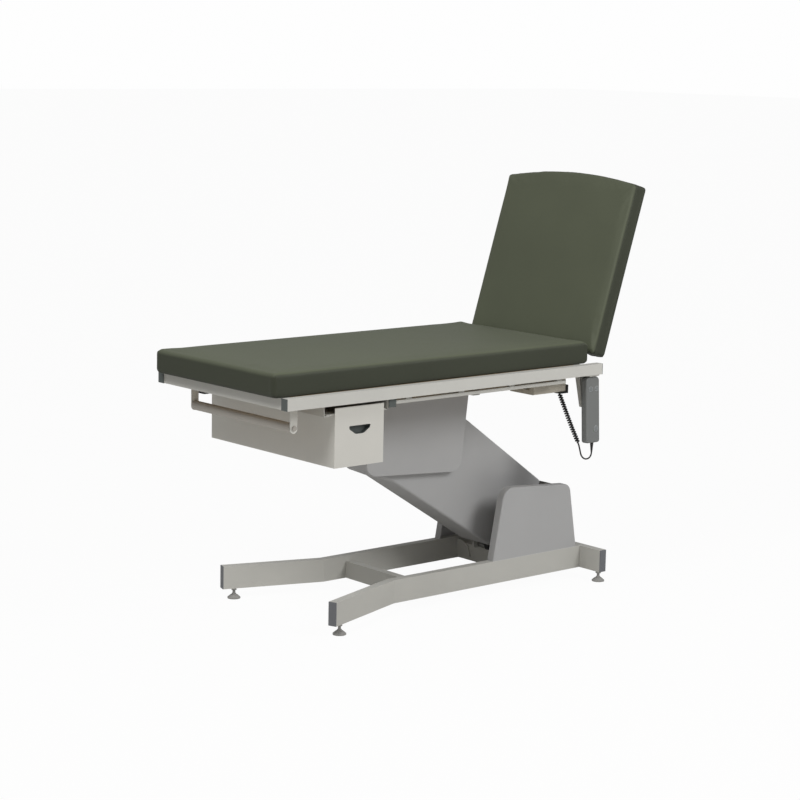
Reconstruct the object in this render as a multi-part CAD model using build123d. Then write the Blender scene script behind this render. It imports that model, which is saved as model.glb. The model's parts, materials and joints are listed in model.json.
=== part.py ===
from build123d import *

import math
import os

# Height-adjustable medical exam table with a raised backrest, in millimetres.
# While it is built, X runs from the foot end of the seat pad (0) to the head end,
# -Y is the side with the drawer front and the handset, and Z = 0 is the floor.
# Every part is shifted by -MID_X when written, so the origin is bottom centre.
MID_X = 834.6

# Pads and rails
PAD_HALF_WIDTH = 335.0
SEAT_PAD_LENGTH = 1396.0
PAD_TOP = 893.0
RAIL_TOP = 810.0
RAIL_HEIGHT = 38.0
RAIL_WIDTH = 30.0
RAIL_OUTER_Y = 354.3
RAIL_FOOT_X = 38.0
RAIL_HEAD_X = 1433.0
TUBE_WALL = 2.0
CAP_THICKNESS = 3.0
BOARD_THICKNESS = 12.0
RAIL_BOTTOM = RAIL_TOP - RAIL_HEIGHT
RAIL_INNER_Y = RAIL_OUTER_Y - RAIL_WIDTH

# Backrest, drawn flat and then turned up about its hinge
BACK_ANGLE = 72.5
HINGE_X, HINGE_Z = 1450.0, 853.0
BACK_PAD_THICKNESS = 64.0
BACK_PAD_FOOT_X = 1420.0
BACK_PAD_SIDE = 631.0
BACK_PAD_RISE = 30.0
BACK_BOARD_THICKNESS = 18.0
BACK_BOARD_X = (1516.0, 2030.0)
BACK_TUBE = 30.0
HINGE_EAR_Y = 240.0
HINGE_PLATE = 5.0
HEAD_RAIL_X = 1322.0
SPRING_Z = 759.0
SLOT_RADII = (92.0, 122.0)
SLOT_WIDTH = 23.0

# Base frame
BASE_BOTTOM = 37.0
BASE_TUBE_HEIGHT = 80.0
BASE_TUBE_WIDTH = 30.0
BASE_TOP = BASE_BOTTOM + BASE_TUBE_HEIGHT
BASE_SIDE_Y = 202.5
BASE_BEND_X = 617.5
BASE_TIP = (273.0, 320.6)
BASE_HEAD_X = 1500.7
BASE_HEAD_HALF = 307.0
CROSSBAR_X = 712.0
CROSSBAR_HEIGHT = 60.0
FOOT_CENTRES = [(311.0, -292.0), (311.0, 292.0), (1515.7, -285.0), (1515.7, 285.0)]
STEM_RADIUS = 5.0

# Lift linkage: two equal arms, one above the other
LIFT_LOW = (1250.0, 170.0)
LIFT_HIGH = (650.0, 567.0)
GUIDE_OFFSET = (80.0, 100.0)
ACTUATOR_LOW = (1240.0, 110.0)
ACTUATOR_HIGH = (775.0, 650.0)
ACTUATOR_PIN = 8.0
UPPER_PIN = 7.0
LUG_Y = 14.0
PIN_RADIUS = 12.5
SHAFT_CLEARANCE = 0.05
POST_Y = 56.0
POST_THICKNESS = 6.0
HUB_HALF = 54.0
ARM_BAR_Y = 38.0
GUIDE_LOW = (LIFT_LOW[0] + GUIDE_OFFSET[0], LIFT_LOW[1] + GUIDE_OFFSET[1])
GUIDE_HIGH = (LIFT_HIGH[0] + GUIDE_OFFSET[0], LIFT_HIGH[1] + GUIDE_OFFSET[1])

# Covers
ARM_COVER_HALF = 77.0
COVER_WALL = 3.0
UPPER_COVER_HALF = 105.0
BASE_COVER_DEPTH = 30.0
NEAR_SHELL_X = 1072.0
FAR_SHELL_X = 1152.0

# Sub-frame under the rails
SUB_TUBE = 30.0
SUB_BOTTOM = RAIL_BOTTOM - SUB_TUBE
SUB_CROSS_X = (466.0, 860.0)
SUB_RAIL_Y = 310.0
SUB_RAIL_Z = (752.0, 763.0)
SUB_RAIL_HEAD_X = 1267.0
BEAM_Y = 62.0

# Drawer
DRAWER_X = (245.0, 447.0)
DRAWER_Z = (565.0, 760.0)
DRAWER_HALF = 336.0
SHEET = 2.0
PULL_CENTRE = (348.0, 697.0)
PULL_WIDTH, PULL_HEIGHT = 88.0, 28.0

# Paper roll bar
BAR_X, BAR_Z = 129.0, 698.0
BAR_RADIUS = 16.0
BAR_HALF = 268.0
BAR_AXLE_RADIUS = 5.0

# Handset and its cord
HANDSET_X, HANDSET_TOP = 1398.5, 764.0
HANDSET_WIDTH, HANDSET_LENGTH, HANDSET_DEPTH = 65.0, 234.0, 28.0
HANDSET_FRONT_Y = -341.0
HANDSET_TILT = 3.0
BUTTON_RADIUS = 7.0
BUTTON_PROUD = 1.5
BUTTON_DEPTH = 8.0
CORD_DIAMETER = 5.5
CURL_DIAMETER = 17.0
CORD_POINTS = [
    (1404, -340, 497), (1404, -340, 479), (1385, -333, 468), (1366, -328, 480),
    (1361, -324, 508), (1358.2, -320.3, 525.8),
]
CURL_POINTS = [
    (1314, -262, 699.5), (1321, -274, 667), (1331, -286, 627), (1343, -298, 585),
    (1352, -310, 552), (1358, -320, 527),
]


def block(x, y, z):
    """A box between two values on each axis."""
    size = [b - a for a, b in (x, y, z)]
    centre = [(a + b) / 2 for a, b in (x, y, z)]
    return Pos(*centre) * Box(*size)


def outline(points, radii):
    """A closed face with the given corner radii."""
    return make_face(FilletPolyline(*points, radius=radii, close=True))


def prism(points, radii, y):
    """An outline drawn in X and Z, with thickness from y[0] to y[1]."""
    flat = extrude(outline(points, radii), amount=y[1] - y[0])
    return Pos(0, y[1], 0) * Rot(90, 0, 0) * flat


def rod(x, z, radius, y):
    """A round bar along Y."""
    return Pos(x, (y[0] + y[1]) / 2, z) * Rot(90, 0, 0) * Cylinder(radius, y[1] - y[0])


def tube(x, y, z, along, wall=TUBE_WALL):
    """An open rectangular tube along one axis."""
    inner = [[a + wall, b - wall] for a, b in (x, y, z)]
    inner[along] = [(x, y, z)[along][0] - 1, (x, y, z)[along][1] + 1]
    return block(x, y, z) - block(*inner)


def mirror_y(shape):
    return mirror(shape, about=Plane.XZ)


def both(shape):
    """The shape and its mirror image on the other side of the table."""
    return [shape, mirror_y(shape)]


def group(*shapes):
    solids = [solid for shape in shapes for solid in shape.solids()]
    return Compound(solids)


def offset_path(points, distance):
    """The points of an open path moved sideways, to its left, with mitred corners."""
    lines = []
    for (x0, y0), (x1, y1) in zip(points, points[1:]):
        length = math.hypot(x1 - x0, y1 - y0)
        dx, dy = (x1 - x0) / length, (y1 - y0) / length
        lines.append((x0 - dy * distance, y0 + dx * distance, dx, dy))
    moved = [lines[0][:2]]
    for (ax, ay, adx, ady), (bx, by, bdx, bdy) in zip(lines, lines[1:]):
        along = ((bx - ax) * bdy - (by - ay) * bdx) / (adx * bdy - ady * bdx)
        moved.append((ax + adx * along, ay + ady * along))
    last = lines[-1]
    length = math.dist(points[-1], points[-2])
    moved.append((last[0] + last[2] * length, last[1] + last[3] * length))
    return moved


def band(points, near, far, z):
    """A strip between two offsets of a plan path, with height from z[0] to z[1]."""
    ring = offset_path(points, near) + offset_path(points, far)[::-1]
    return Pos(0, 0, z[0]) * extrude(make_face(Polyline(*ring, close=True)), amount=z[1] - z[0])


def arc_radii(points):
    """Radii for a cord's corners, as large as the two runs at each corner allow."""
    radii = []
    for before, here, after in zip(points, points[1:], points[2:]):
        one, two = Vector(*here) - Vector(*before), Vector(*after) - Vector(*here)
        half_turn = math.radians(one.get_angle(two)) / 2
        radii.append(0.45 * min(one.length, two.length) / math.tan(half_turn))
    return radii


def cord_tube(points, diameter):
    """A round cord along straight runs joined by tangent arcs."""
    radii = arc_radii(points)
    print("cord radii", [round(radius, 1) for radius in radii])
    path = FilletPolyline(*points, radius=radii)
    section = Plane(origin=path @ 0, z_dir=path % 0) * Circle(diameter / 2)
    solid = sweep(section, path=path)
    ideal = math.pi * diameter**2 / 4 * path.length
    print("cord length", round(path.length, 1), "volume ratio", round(solid.volume / ideal, 3))
    return solid


def raised(shape):
    """Turn a backrest part from flat to its raised rest position."""
    hinge = Pos(HINGE_X, 0, HINGE_Z)
    return hinge * Rot(0, -BACK_ANGLE, 0) * hinge.inverse() * shape


# ---------------------------------------------------------------- base frame
def leg_direction():
    dx, dy = BASE_TIP[0] - BASE_BEND_X, BASE_TIP[1] - BASE_SIDE_Y
    length = math.hypot(dx, dy)
    return dx / length, dy / length, length


def side_tube():
    """Side tube with its splayed foot-end leg, far side."""
    dx, dy, length = leg_direction()
    tip = (BASE_BEND_X + dx * (length - CAP_THICKNESS), BASE_SIDE_Y + dy * (length - CAP_THICKNESS))
    path = [(BASE_HEAD_X, BASE_SIDE_Y), (BASE_BEND_X, BASE_SIDE_Y), tip]
    longer = [(BASE_HEAD_X + 1, BASE_SIDE_Y), path[1], (tip[0] + dx, tip[1] + dy)]
    skin = band(path, 0, BASE_TUBE_WIDTH, (BASE_BOTTOM, BASE_TOP))
    hollow = band(longer, TUBE_WALL, BASE_TUBE_WIDTH - TUBE_WALL,
                  (BASE_BOTTOM + TUBE_WALL, BASE_TOP - TUBE_WALL))
    x, y = FOOT_CENTRES[1]
    hole = Pos(x, y, BASE_BOTTOM) * Cylinder(STEM_RADIUS + 0.5, 3 * TUBE_WALL)
    return skin - hollow - hole


def head_tube():
    reach = BASE_HEAD_HALF - CAP_THICKNESS
    solid = tube((BASE_HEAD_X, BASE_HEAD_X + BASE_TUBE_WIDTH), (-reach, reach),
                 (BASE_BOTTOM, BASE_TOP), along=1)
    for x, y in FOOT_CENTRES[2:]:
        solid -= Pos(x, y, BASE_BOTTOM) * Cylinder(STEM_RADIUS + 0.5, 3 * TUBE_WALL)
    return solid


def end_cap(width, height, plug=14.0):
    """A moulded plug for a tube end: its plate is at x < 0 and the tube at x > 0."""
    gap = TUBE_WALL + 0.2
    plate = Pos(-CAP_THICKNESS / 2, 0, 0) * Box(CAP_THICKNESS, width, height)
    plate = fillet(plate.faces().sort_by(Axis.X)[0].edges(), 1.2)
    return plate + Pos(plug / 2, 0, 0) * Box(plug, width - 2 * gap, height - 2 * gap)


def base_end_caps():
    dx, dy, length = leg_direction()
    reach = length - CAP_THICKNESS
    centre_x = BASE_BEND_X + dx * reach - dy * BASE_TUBE_WIDTH / 2
    centre_y = BASE_SIDE_Y + dy * reach + dx * BASE_TUBE_WIDTH / 2
    middle = BASE_BOTTOM + BASE_TUBE_HEIGHT / 2
    cap = end_cap(BASE_TUBE_WIDTH, BASE_TUBE_HEIGHT)
    turn = math.degrees(math.atan2(-dy, -dx))
    tip_cap = Pos(centre_x, centre_y, middle) * Rot(0, 0, turn) * cap
    side = BASE_HEAD_HALF - CAP_THICKNESS
    head_cap = Pos(BASE_HEAD_X + BASE_TUBE_WIDTH / 2, side, middle) * Rot(0, 0, -90) * cap
    return group(*both(tip_cap), *both(head_cap))


def foot_crossbar():
    inner = BASE_SIDE_Y - BASE_TUBE_WIDTH
    return tube((CROSSBAR_X, CROSSBAR_X + BASE_TUBE_WIDTH), (-inner, inner),
                (BASE_BOTTOM, BASE_BOTTOM + CROSSBAR_HEIGHT), along=1)


def pivot_beam():
    inner = BASE_SIDE_Y - BASE_TUBE_WIDTH
    return tube((1246, 1306), (-inner, inner), (BASE_BOTTOM, BASE_BOTTOM + 60), along=1, wall=3)


def pivot_brackets():
    """Two post plates on the beam, and two gussets from it to the side tubes."""
    top = BASE_BOTTOM + 60
    points = [(1214, top), (1308, top), (1364, 268), (1330, 308), (1296, 288), (1214, 184)]
    post = prism(points, [12, 8, 30, 26, 26, 28], (POST_Y, POST_Y + POST_THICKNESS))
    for x, z in (LIFT_LOW, GUIDE_LOW):
        post -= rod(x, z, PIN_RADIUS, (0, 100))
    post -= rod(*ACTUATOR_LOW, ACTUATOR_PIN, (0, 100))
    inner = BASE_SIDE_Y - BASE_TUBE_WIDTH
    gusset = [(-inner, 107), (-inner, 52), (-104, 52), (-118, 90), (-152, 107)]
    plate = extrude(outline(gusset, [0, 0, 4, 14, 8]), amount=6)
    plate = Plane.YZ.offset(1240) * plate
    return group(*both(post), *both(plate))


def pin(x, z, radius, half):
    """A pivot pin with a thin retaining head at each end."""
    head = rod(x, z, radius + 5, (half, half + 3))
    return rod(x, z, radius, (-half, half)) + head + mirror_y(head)


def base_pivot_pins():
    half = POST_Y + POST_THICKNESS
    return group(pin(*LIFT_LOW, PIN_RADIUS, half), pin(*GUIDE_LOW, PIN_RADIUS, half),
                 pin(*ACTUATOR_LOW, ACTUATOR_PIN, half))


def foot_nuts():
    nuts = []
    for x, y in FOOT_CENTRES:
        nut = extrude(RegularPolygon(9.8, 6), amount=8) - Cylinder(STEM_RADIUS + SHAFT_CLEARANCE, 40)
        nuts.append(Pos(x, y, BASE_BOTTOM - 8) * nut)
    return group(*nuts)


def levelling_foot(x, y):
    """A round pad on a threaded stem that screws into the tube."""
    profile = [(0, 0), (22.5, 0), (22.5, 4), (13, 12), (8, 13), (8, 17), (STEM_RADIUS, 18),
               (STEM_RADIUS, 72), (0, 72)]
    face = make_face(Polyline(*profile, close=True))
    return Pos(x, y, 0) * revolve(Rot(90, 0, 0) * face, Axis.Z)


def base_shell(foot_x):
    """Side cover that stands on a base side tube, near side, hollow towards the middle."""
    lean = 48.0
    corners = [(foot_x, BASE_TOP), (foot_x + lean, 376), (1441, 352), (1481, BASE_TOP)]
    outer = prism(corners, [0, 50, 32, 0], (-BASE_SIDE_Y, -BASE_SIDE_Y + BASE_COVER_DEPTH))
    edge = outer.faces().sort_by(Axis.Y)[0].edges()
    outer = fillet(edge.filter_by(lambda e: e.center().Z > BASE_TOP + 1), 5)
    inside = [(foot_x + 3, 0), (foot_x + 3, BASE_TOP), (foot_x + lean + 3, 372.9),
              (1438.5, 349), (1477.5, BASE_TOP), (1477.5, 0)]
    hollow = prism(inside, [0, 0, 47, 29, 0, 0], (-BASE_SIDE_Y + COVER_WALL, 0))
    return outer - hollow


def base_rear_cover():
    """Leaning wall that joins the two side covers at the head end."""
    reach = BASE_SIDE_Y - BASE_COVER_DEPTH
    wall = [(1478, BASE_TOP), (1481, BASE_TOP), (1442.8, 338), (1439.8, 338)]
    return prism(wall, 0, (-reach, reach))


# ------------------------------------------------------------- lift linkage
def link_bar(low, high, radius, y):
    """A straight bar with round ends about two pivots."""
    length = math.dist(low, high)
    angle = math.degrees(math.atan2(high[1] - low[1], high[0] - low[0]))
    flat = extrude(SlotCenterToCenter(length, 2 * radius), amount=y[1] - y[0])
    middle = Pos((low[0] + high[0]) / 2, y[1], (low[1] + high[1]) / 2)
    return middle * Rot(0, -angle, 0) * Rot(90, 0, 0) * flat


def along_arm(distance, rise=0.0):
    """A point on the lower arm, measured from its base pivot, and above its line."""
    length = math.dist(LIFT_LOW, LIFT_HIGH)
    dx, dz = (LIFT_HIGH[0] - LIFT_LOW[0]) / length, (LIFT_HIGH[1] - LIFT_LOW[1]) / length
    return LIFT_LOW[0] + dx * distance + dz * rise, LIFT_LOW[1] + dz * distance - dx * rise


def lift_arm():
    """Twin-bar lower arm with a bored hub tube at each end and studs for its cover."""
    bar = link_bar(LIFT_LOW, LIFT_HIGH, 30, (ARM_BAR_Y, ARM_BAR_Y + 10))
    solid = bar + mirror_y(bar)
    for x, z in (LIFT_LOW, LIFT_HIGH):
        solid += rod(x, z, 26, (-HUB_HALF, HUB_HALF))
    solid += rod(*along_arm(540), 18, (-ARM_BAR_Y, ARM_BAR_Y))
    wall = ARM_COVER_HALF - COVER_WALL
    for distance in (190, 520):
        x, z = along_arm(distance)
        stud = rod(x, z, 8, (ARM_BAR_Y + 10, wall))
        solid = solid + stud + mirror_y(stud)
    for x, z in (LIFT_LOW, LIFT_HIGH):
        solid -= rod(x, z, PIN_RADIUS + SHAFT_CLEARANCE, (-100, 100))
    return solid


def guide_arm():
    """Twin-bar upper arm, parallel to the lower one."""
    bar = link_bar(GUIDE_LOW, GUIDE_HIGH, 20, (ARM_BAR_Y, ARM_BAR_Y + 8))
    solid = bar + mirror_y(bar)
    for x, z in (GUIDE_LOW, GUIDE_HIGH):
        solid += rod(x, z, 19, (-HUB_HALF, HUB_HALF))
    solid -= rod(*GUIDE_LOW, PIN_RADIUS + SHAFT_CLEARANCE, (-100, 100))
    return solid - rod(*GUIDE_HIGH, PIN_RADIUS + 1, (-100, 100))


def arm_cover():
    """Moulded trough round both arms, open along its top and at its base end."""
    belly = [(1165, 142), (712, 424), (628, 457), (594, 504), (604, 606)]
    rest = [(735, 690), (940, 600), (1040, 614), (1416, 347), (1392, 288), (1310, 146), (1250, 109)]
    radii = [6, 30, 40, 30, 20, 24, 60, 34, 14, 20, 30, 30]
    half = ARM_COVER_HALF
    outer = prism(belly + rest, radii, (-half, half))
    low_edges = outer.edges().filter_by(lambda e: abs(abs(e.center().Y) - half) < 0.1
                                        and on_belly(e.center(), belly))
    outer = fillet(low_edges, 8)
    floor = offset_path([extend(belly[0], belly[1], -90)] + belly[1:], -COVER_WALL)
    inside = floor + [(floor[-1][0], 1000), (1700, 1000), (1700, -50)]
    hollow = prism(inside, 0, (-half + COVER_WALL, half - COVER_WALL))
    low_inner = hollow.edges().filter_by(lambda e: abs(abs(e.center().Y) - half + COVER_WALL) < 0.1
                                         and on_belly(e.center(), floor[:4]))
    return outer - fillet(low_inner, 5)


def extend(start, towards, distance):
    length = math.dist(start, towards)
    return (start[0] + (towards[0] - start[0]) * distance / length,
            start[1] + (towards[1] - start[1]) * distance / length)


def on_belly(point, path):
    """True for a point that lies on one of the straight stretches of a path in X and Z."""
    for (x0, z0), (x1, z1) in zip(path, path[1:]):
        length = math.hypot(x1 - x0, z1 - z0)
        across = ((point.X - x0) * (z1 - z0) - (point.Z - z0) * (x1 - x0)) / length
        along = ((point.X - x0) * (x1 - x0) + (point.Z - z0) * (z1 - z0)) / length
        if abs(across) < 0.5 and 0 < along < length:
            return True
    return False


def actuator_frame():
    """The place and turn that put a part drawn along +X on the actuator's axis."""
    dx, dz = ACTUATOR_HIGH[0] - ACTUATOR_LOW[0], ACTUATOR_HIGH[1] - ACTUATOR_LOW[1]
    turn = Rot(0, -math.degrees(math.atan2(dz, dx)), 0)
    return Pos(ACTUATOR_LOW[0], 0, ACTUATOR_LOW[1]) * turn


def along_x(radius, start, end):
    return Pos((start + end) / 2, 0, 0) * Rot(0, 90, 0) * Cylinder(radius, end - start)


def actuator_body():
    """Rear eye, gearbox and outer tube of the lift actuator."""
    solid = rod(0, 0, 13, (-12, 12)) + block((5, 90), (-12, 12), (-9, 9))
    solid += block((85, 175), (-22, 22), (-22, 22))
    solid += along_x(19, 170, 470)
    solid -= along_x(12.3, 190, 480)
    return actuator_frame() * (solid - rod(0, 0, ACTUATOR_PIN + SHAFT_CLEARANCE, (-20, 20)))


def actuator_motor():
    """Motor can beside the actuator's outer tube."""
    can = Pos(0, 0, -36) * along_x(14, 176, 300)
    foot = block((176, 186), (-10, 10), (-36, -20))
    return actuator_frame() * (fillet(can.edges(), 2) + foot)


def actuator_rod():
    """Push rod whose wide eye goes round the carriage pin."""
    length = math.dist(ACTUATOR_LOW, ACTUATOR_HIGH)
    solid = along_x(12.0, 310, length - 12) + rod(length, 0, 19, (-12, 12))
    return actuator_frame() * (solid - rod(length, 0, UPPER_PIN + 6, (-20, 20)))


# ---------------------------------------------------------- table top frame
def main_rail():
    x = (RAIL_FOOT_X + CAP_THICKNESS, RAIL_HEAD_X - CAP_THICKNESS)
    return tube(x, (-RAIL_OUTER_Y, -RAIL_INNER_Y), (RAIL_BOTTOM, RAIL_TOP), along=0)


def cross_rail(x):
    return tube((x, x + RAIL_WIDTH), (-RAIL_INNER_Y, RAIL_INNER_Y), (RAIL_BOTTOM, RAIL_TOP), along=1)


def board_cross_rails():
    """Low tubes between the rails that carry the seat board."""
    top = RAIL_TOP - BOARD_THICKNESS
    return group(*[tube((x, x + 30), (-RAIL_INNER_Y, RAIL_INNER_Y), (RAIL_BOTTOM, top), along=1)
                   for x in (290, 760, 1110)])


def frame_end_caps():
    """Caps of the side rails and of the sub-frame's foot cross tube."""
    centre_y = (RAIL_OUTER_Y + RAIL_INNER_Y) / 2
    middle = (RAIL_TOP + RAIL_BOTTOM) / 2
    cap = end_cap(RAIL_WIDTH, RAIL_HEIGHT)
    foot = Pos(RAIL_FOOT_X + CAP_THICKNESS, centre_y, middle) * cap
    head = Pos(RAIL_HEAD_X - CAP_THICKNESS, centre_y, middle) * Rot(0, 0, 180) * cap
    small = end_cap(SUB_TUBE, SUB_TUBE)
    x = SUB_CROSS_X[0] + SUB_TUBE / 2
    side = Pos(x, SUB_RAIL_Y + 27, SUB_BOTTOM + SUB_TUBE / 2) * Rot(0, 0, -90) * small
    return group(*both(foot), *both(head), *both(side))


def sub_rails():
    """Flat tubes under the side rails, on spacers."""
    y = (SUB_RAIL_Y, SUB_RAIL_Y + 30)
    start = SUB_CROSS_X[0] + SUB_TUBE
    rail = tube((start, SUB_RAIL_HEAD_X), y, SUB_RAIL_Z, along=0, wall=1.5)
    parts = both(rail)
    for x in (540, 770, 1000, 1225):
        parts += both(block((x, x + 24), (y[0] + 15, y[1] - 2), (SUB_RAIL_Z[1], RAIL_BOTTOM)))
    return group(*parts)


def sub_frame():
    """Cross tubes and the two beams that hold the lift carriage."""
    z = (SUB_BOTTOM, RAIL_BOTTOM)
    foot = tube((SUB_CROSS_X[0], SUB_CROSS_X[0] + SUB_TUBE), (-337, 337), z, along=1)
    head = tube((SUB_CROSS_X[1], SUB_CROSS_X[1] + SUB_TUBE), (-SUB_RAIL_Y, SUB_RAIL_Y), z, along=1)
    beam = tube((SUB_CROSS_X[0] + SUB_TUBE, SUB_CROSS_X[1]), (BEAM_Y, BEAM_Y + SUB_TUBE), z, along=0)
    return group(foot, head, *both(beam))


def carriage_plates():
    points = [(606, 772), (852, 772), (852, 720), (820, 620), (660, 530), (614, 530)]
    plate = prism(points, [0, 0, 20, 24, 30, 30], (POST_Y, POST_Y + POST_THICKNESS))
    for x, z in (LIFT_HIGH, GUIDE_HIGH):
        plate -= rod(x, z, PIN_RADIUS, (0, 100))
    x, z = ACTUATOR_HIGH
    lug = prism([(x - 23, 772), (x - 18, z - 17), (x + 18, z - 17), (x + 23, 772)],
                [0, 16, 16, 0], (LUG_Y, LUG_Y + POST_THICKNESS))
    return group(*both(plate), *both(lug - rod(x, z, UPPER_PIN, (0, 100))))


def carriage_pins():
    half = POST_Y + POST_THICKNESS
    return group(pin(*LIFT_HIGH, PIN_RADIUS, half), pin(*GUIDE_HIGH, PIN_RADIUS, half),
                 pin(*ACTUATOR_HIGH, UPPER_PIN, LUG_Y + POST_THICKNESS))


def upper_cover():
    """Near half of the cover that hangs round the top of the arms."""
    half = UPPER_COVER_HALF
    skirt = prism([(571, 742), (571, 461), (996, 433), (1031, 742)], [0, 45, 42, 0],
                  (-half, -half + 4))
    front = skirt.faces().sort_by(Axis.Y)[0].edges()
    skirt = fillet(front.filter_by(lambda e: e.center().Z < 741), 2.5)
    panel = block((571, 575), (-half + 4, 0), (508, 742))
    flange = block((575, 858), (-half + 4, -64), (739, 742))
    return skirt + panel + flange


def seat_board():
    """Plywood board let in between the rails."""
    return block((76, HEAD_RAIL_X - 2), (-RAIL_INNER_Y + 0.5, RAIL_INNER_Y - 0.5),
                 (RAIL_TOP - BOARD_THICKNESS, RAIL_TOP))


def seat_pad():
    pad = block((0, SEAT_PAD_LENGTH), (-PAD_HALF_WIDTH, PAD_HALF_WIDTH), (RAIL_TOP, PAD_TOP))
    pad = fillet(pad.edges().filter_by(Axis.Z), 14)
    return fillet(pad.faces().sort_by(Axis.Z)[-1].edges(), 9)


def drawer_runner(web_x, turn, width):
    """Folded channel across the table: web_x is its outer face, turn points to the drawer."""
    z = (735.0, RAIL_BOTTOM)
    web = sorted((web_x, web_x + turn * SHEET))
    lip = sorted((web_x, web_x + turn * width))
    web_plate = block(web, (-330, 330), z)
    return web_plate + block(lip, (-330, 330), (z[0], z[0] + SHEET)) + block(
        lip, (-330, 330), (z[1] - SHEET, z[1]))


def paper_brackets():
    """Plates that hang from the board and carry the roll bar."""
    top = RAIL_TOP - BOARD_THICKNESS
    near = (BAR_HALF + 1, BAR_HALF + 5)
    outline_points = [(BAR_X - 14, top), (BAR_X - 14, BAR_Z - 17), (BAR_X + 14, BAR_Z - 17),
                      (BAR_X + 14, top)]
    plate = prism(outline_points, [0, 13.9, 13.9, 0], near)
    flange = block((BAR_X - 14, BAR_X + 14), (near[0], near[0] + 30), (top - 4, top))
    plate = plate + flange - rod(BAR_X, BAR_Z, BAR_AXLE_RADIUS + SHAFT_CLEARANCE, (0, 400))
    return group(*both(plate))


def paper_bar():
    """Roll bar with an end plug and a bolt at each end."""
    solid = rod(BAR_X, BAR_Z, BAR_RADIUS, (-BAR_HALF, BAR_HALF))
    solid += rod(BAR_X, BAR_Z, BAR_AXLE_RADIUS, (-BAR_HALF - 6, BAR_HALF + 6))
    head = rod(BAR_X, BAR_Z, 8.5, (BAR_HALF + 6, BAR_HALF + 11))
    head = fillet(head.faces().sort_by(Axis.Y)[-1].edges(), 1.5)
    return solid + head + mirror_y(head)


def supply_box():
    """Small closed box under the board at the far side of the foot end."""
    return fillet(block((152, 204), (250, 318), (735, 798)).edges().filter_by(Axis.Z), 4)


def control_box():
    """Control unit under the head cross rail, with a mains inlet in its foot side."""
    body = block((1180, 1335), (-270, -150), (708, RAIL_BOTTOM))
    body = fillet(body.edges().filter_by(Axis.X), 4)
    inlet = block((1170, 1190), (-249, -221), (724, 744))
    blades = [block((1181, 1190.5), (y, y + 2), (730, 738)) for y in (-243, -236, -229)]
    return body - inlet + blades


def handset_socket():
    """Angled plug on the control unit that the curly cord leaves."""
    end = block((1335, 1344), (-276, -248), (703, 732))
    foot = block((1302, 1336), (-276, -248), (703, 708))
    return fillet((end + foot).edges().filter_by(Axis.Z), 2)


def handset_place():
    """The place and tilt of the handset, drawn with the top of its front at the origin."""
    return Pos(HANDSET_X, HANDSET_FRONT_Y, HANDSET_TOP) * Rot(-HANDSET_TILT, 0, 0)


def handset_body(y):
    half = HANDSET_WIDTH / 2
    points = [(-half, 0), (half, 0), (half, -HANDSET_LENGTH), (-half, -HANDSET_LENGTH)]
    return prism(points, [16, 16, 10, 10], y)


def button_sites():
    """Local x, z, width and height of the three buttons."""
    return [(-10.5, -43, 14, 14), (17.5, -43, 14, 14), (13.5, -184, 13, 19)]


def button_hole(x, z, width, height, grow, y):
    shape = extrude(Ellipse(width / 2 + grow, height / 2 + grow)
                    if width < height else Circle(width / 2 + grow), amount=y[1] - y[0])
    return Pos(x, y[1], z) * Rot(90, 0, 0) * shape


def handset_front():
    """Front shell with wells for the three buttons and a small lamp hole."""
    shell = handset_body((0, HANDSET_DEPTH / 2))
    shell = fillet(shell.faces().sort_by(Axis.Y)[0].edges(), 5)
    for site in button_sites():
        shell -= button_hole(*site, 0.4, (-1, BUTTON_DEPTH))
    return handset_place() * (shell - rod(2, -192, 2, (-1, 1.6)))


def handset_back():
    """Back shell with the boss that clips to the holder."""
    shell = handset_body((HANDSET_DEPTH / 2, HANDSET_DEPTH))
    shell = fillet(shell.faces().sort_by(Axis.Y)[-1].edges(), 5)
    return handset_place() * (shell + rod(-2, -90, 9, (HANDSET_DEPTH - 2, HANDSET_DEPTH + 5)))


def button(site):
    """A button cap that stands proud of the handset and reaches down its well."""
    cap = button_hole(*site, 0.0, (-BUTTON_PROUD, BUTTON_DEPTH - 1.5))
    cap = fillet(cap.faces().sort_by(Axis.Y)[0].edges(), 0.8)
    return handset_place() * cap


def handset_holder():
    """Bent steel tongue under the rail that the handset clips to."""
    profile = [(-350, 767), (-350, RAIL_BOTTOM), (-279, RAIL_BOTTOM), (-279, 762), (-304, 655),
               (-316, 655), (-301, 767)]
    face = outline(profile, [0, 0, 0, 6, 3, 3, 6])
    return Plane.YZ.offset(1372) * extrude(face, amount=48)


def strain_relief():
    """Tapered sleeve where the cord enters the handset."""
    x, y, z = CORD_POINTS[0]
    top = HANDSET_TOP - HANDSET_LENGTH + 6
    cone = Pos(x, y, (top + z) / 2) * Cone(3.6, 6.5, top - z)
    body = block((-60, 60), (-50, 50), (-HANDSET_LENGTH, 20))
    return cone - handset_place() * body


# ------------------------------------------------------------------- drawer
def pull_outline(grow, y):
    """Half-moon with a flat top, in X and Z."""
    half = PULL_WIDTH / 2 + grow
    drop = PULL_HEIGHT + grow
    x, z = PULL_CENTRE
    points = [(x - half, z + grow), (x + half, z + grow), (x + half, z - drop * 0.36),
              (x + half * 0.4, z - drop), (x - half * 0.4, z - drop), (x - half, z - drop * 0.36)]
    return prism(points, [3, 3, 10, 20, 20, 10], y)


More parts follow.
